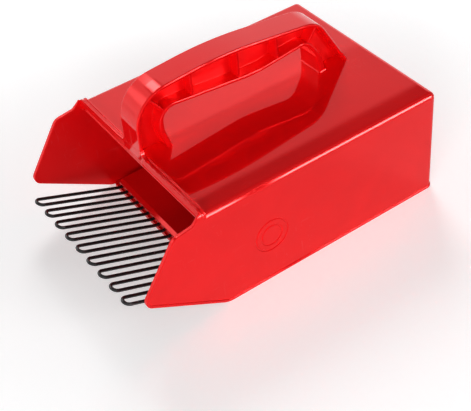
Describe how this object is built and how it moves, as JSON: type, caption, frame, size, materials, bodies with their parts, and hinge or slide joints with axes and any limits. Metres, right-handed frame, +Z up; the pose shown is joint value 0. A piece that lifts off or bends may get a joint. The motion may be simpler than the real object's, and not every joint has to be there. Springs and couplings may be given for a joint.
{
  "type": "berry picking rake",
  "caption": "Hand-held scoop box with a ribbed carrying handle on its roof, open at the front, with a comb of coated wire hairpins in front of its floor for combing berries off low bushes.",
  "frame": {"origin": "bottom centre of the bounding box, on the resting plane", "axes": "+Z up, -Y the way the tines and the open mouth face, +X to the left of someone who looks into the mouth"},
  "size_m": [0.1412, 0.224, 0.1214],
  "materials": {
    "shell_plastic": "high gloss, red",
    "floor_plastic": "gloss, red",
    "clamp_plastic": "gloss, red",
    "wire_coating": "satin black coating on steel wire",
    "screw_steel": "zinc-plated steel"
  },
  "bodies": {
    "root": {"body_shell": "shell_plastic", "floor_plate": "floor_plastic", "comb_clamp_bar": "clamp_plastic", "tine_1": "wire_coating", "tine_2": "wire_coating", "tine_3": "wire_coating", "tine_4": "wire_coating", "tine_5": "wire_coating", "tine_6": "wire_coating", "tine_7": "wire_coating", "tine_8": "wire_coating", "tine_9": "wire_coating", "clamp_screw_1": "screw_steel", "clamp_screw_2": "screw_steel", "clamp_screw_3": "screw_steel", "clamp_screw_4": "screw_steel", "floor_screw_1": "screw_steel", "floor_screw_2": "screw_steel", "floor_screw_3": "screw_steel", "floor_screw_4": "screw_steel", "floor_screw_5": "screw_steel", "floor_screw_6": "screw_steel"}
  },
  "joints": []
}
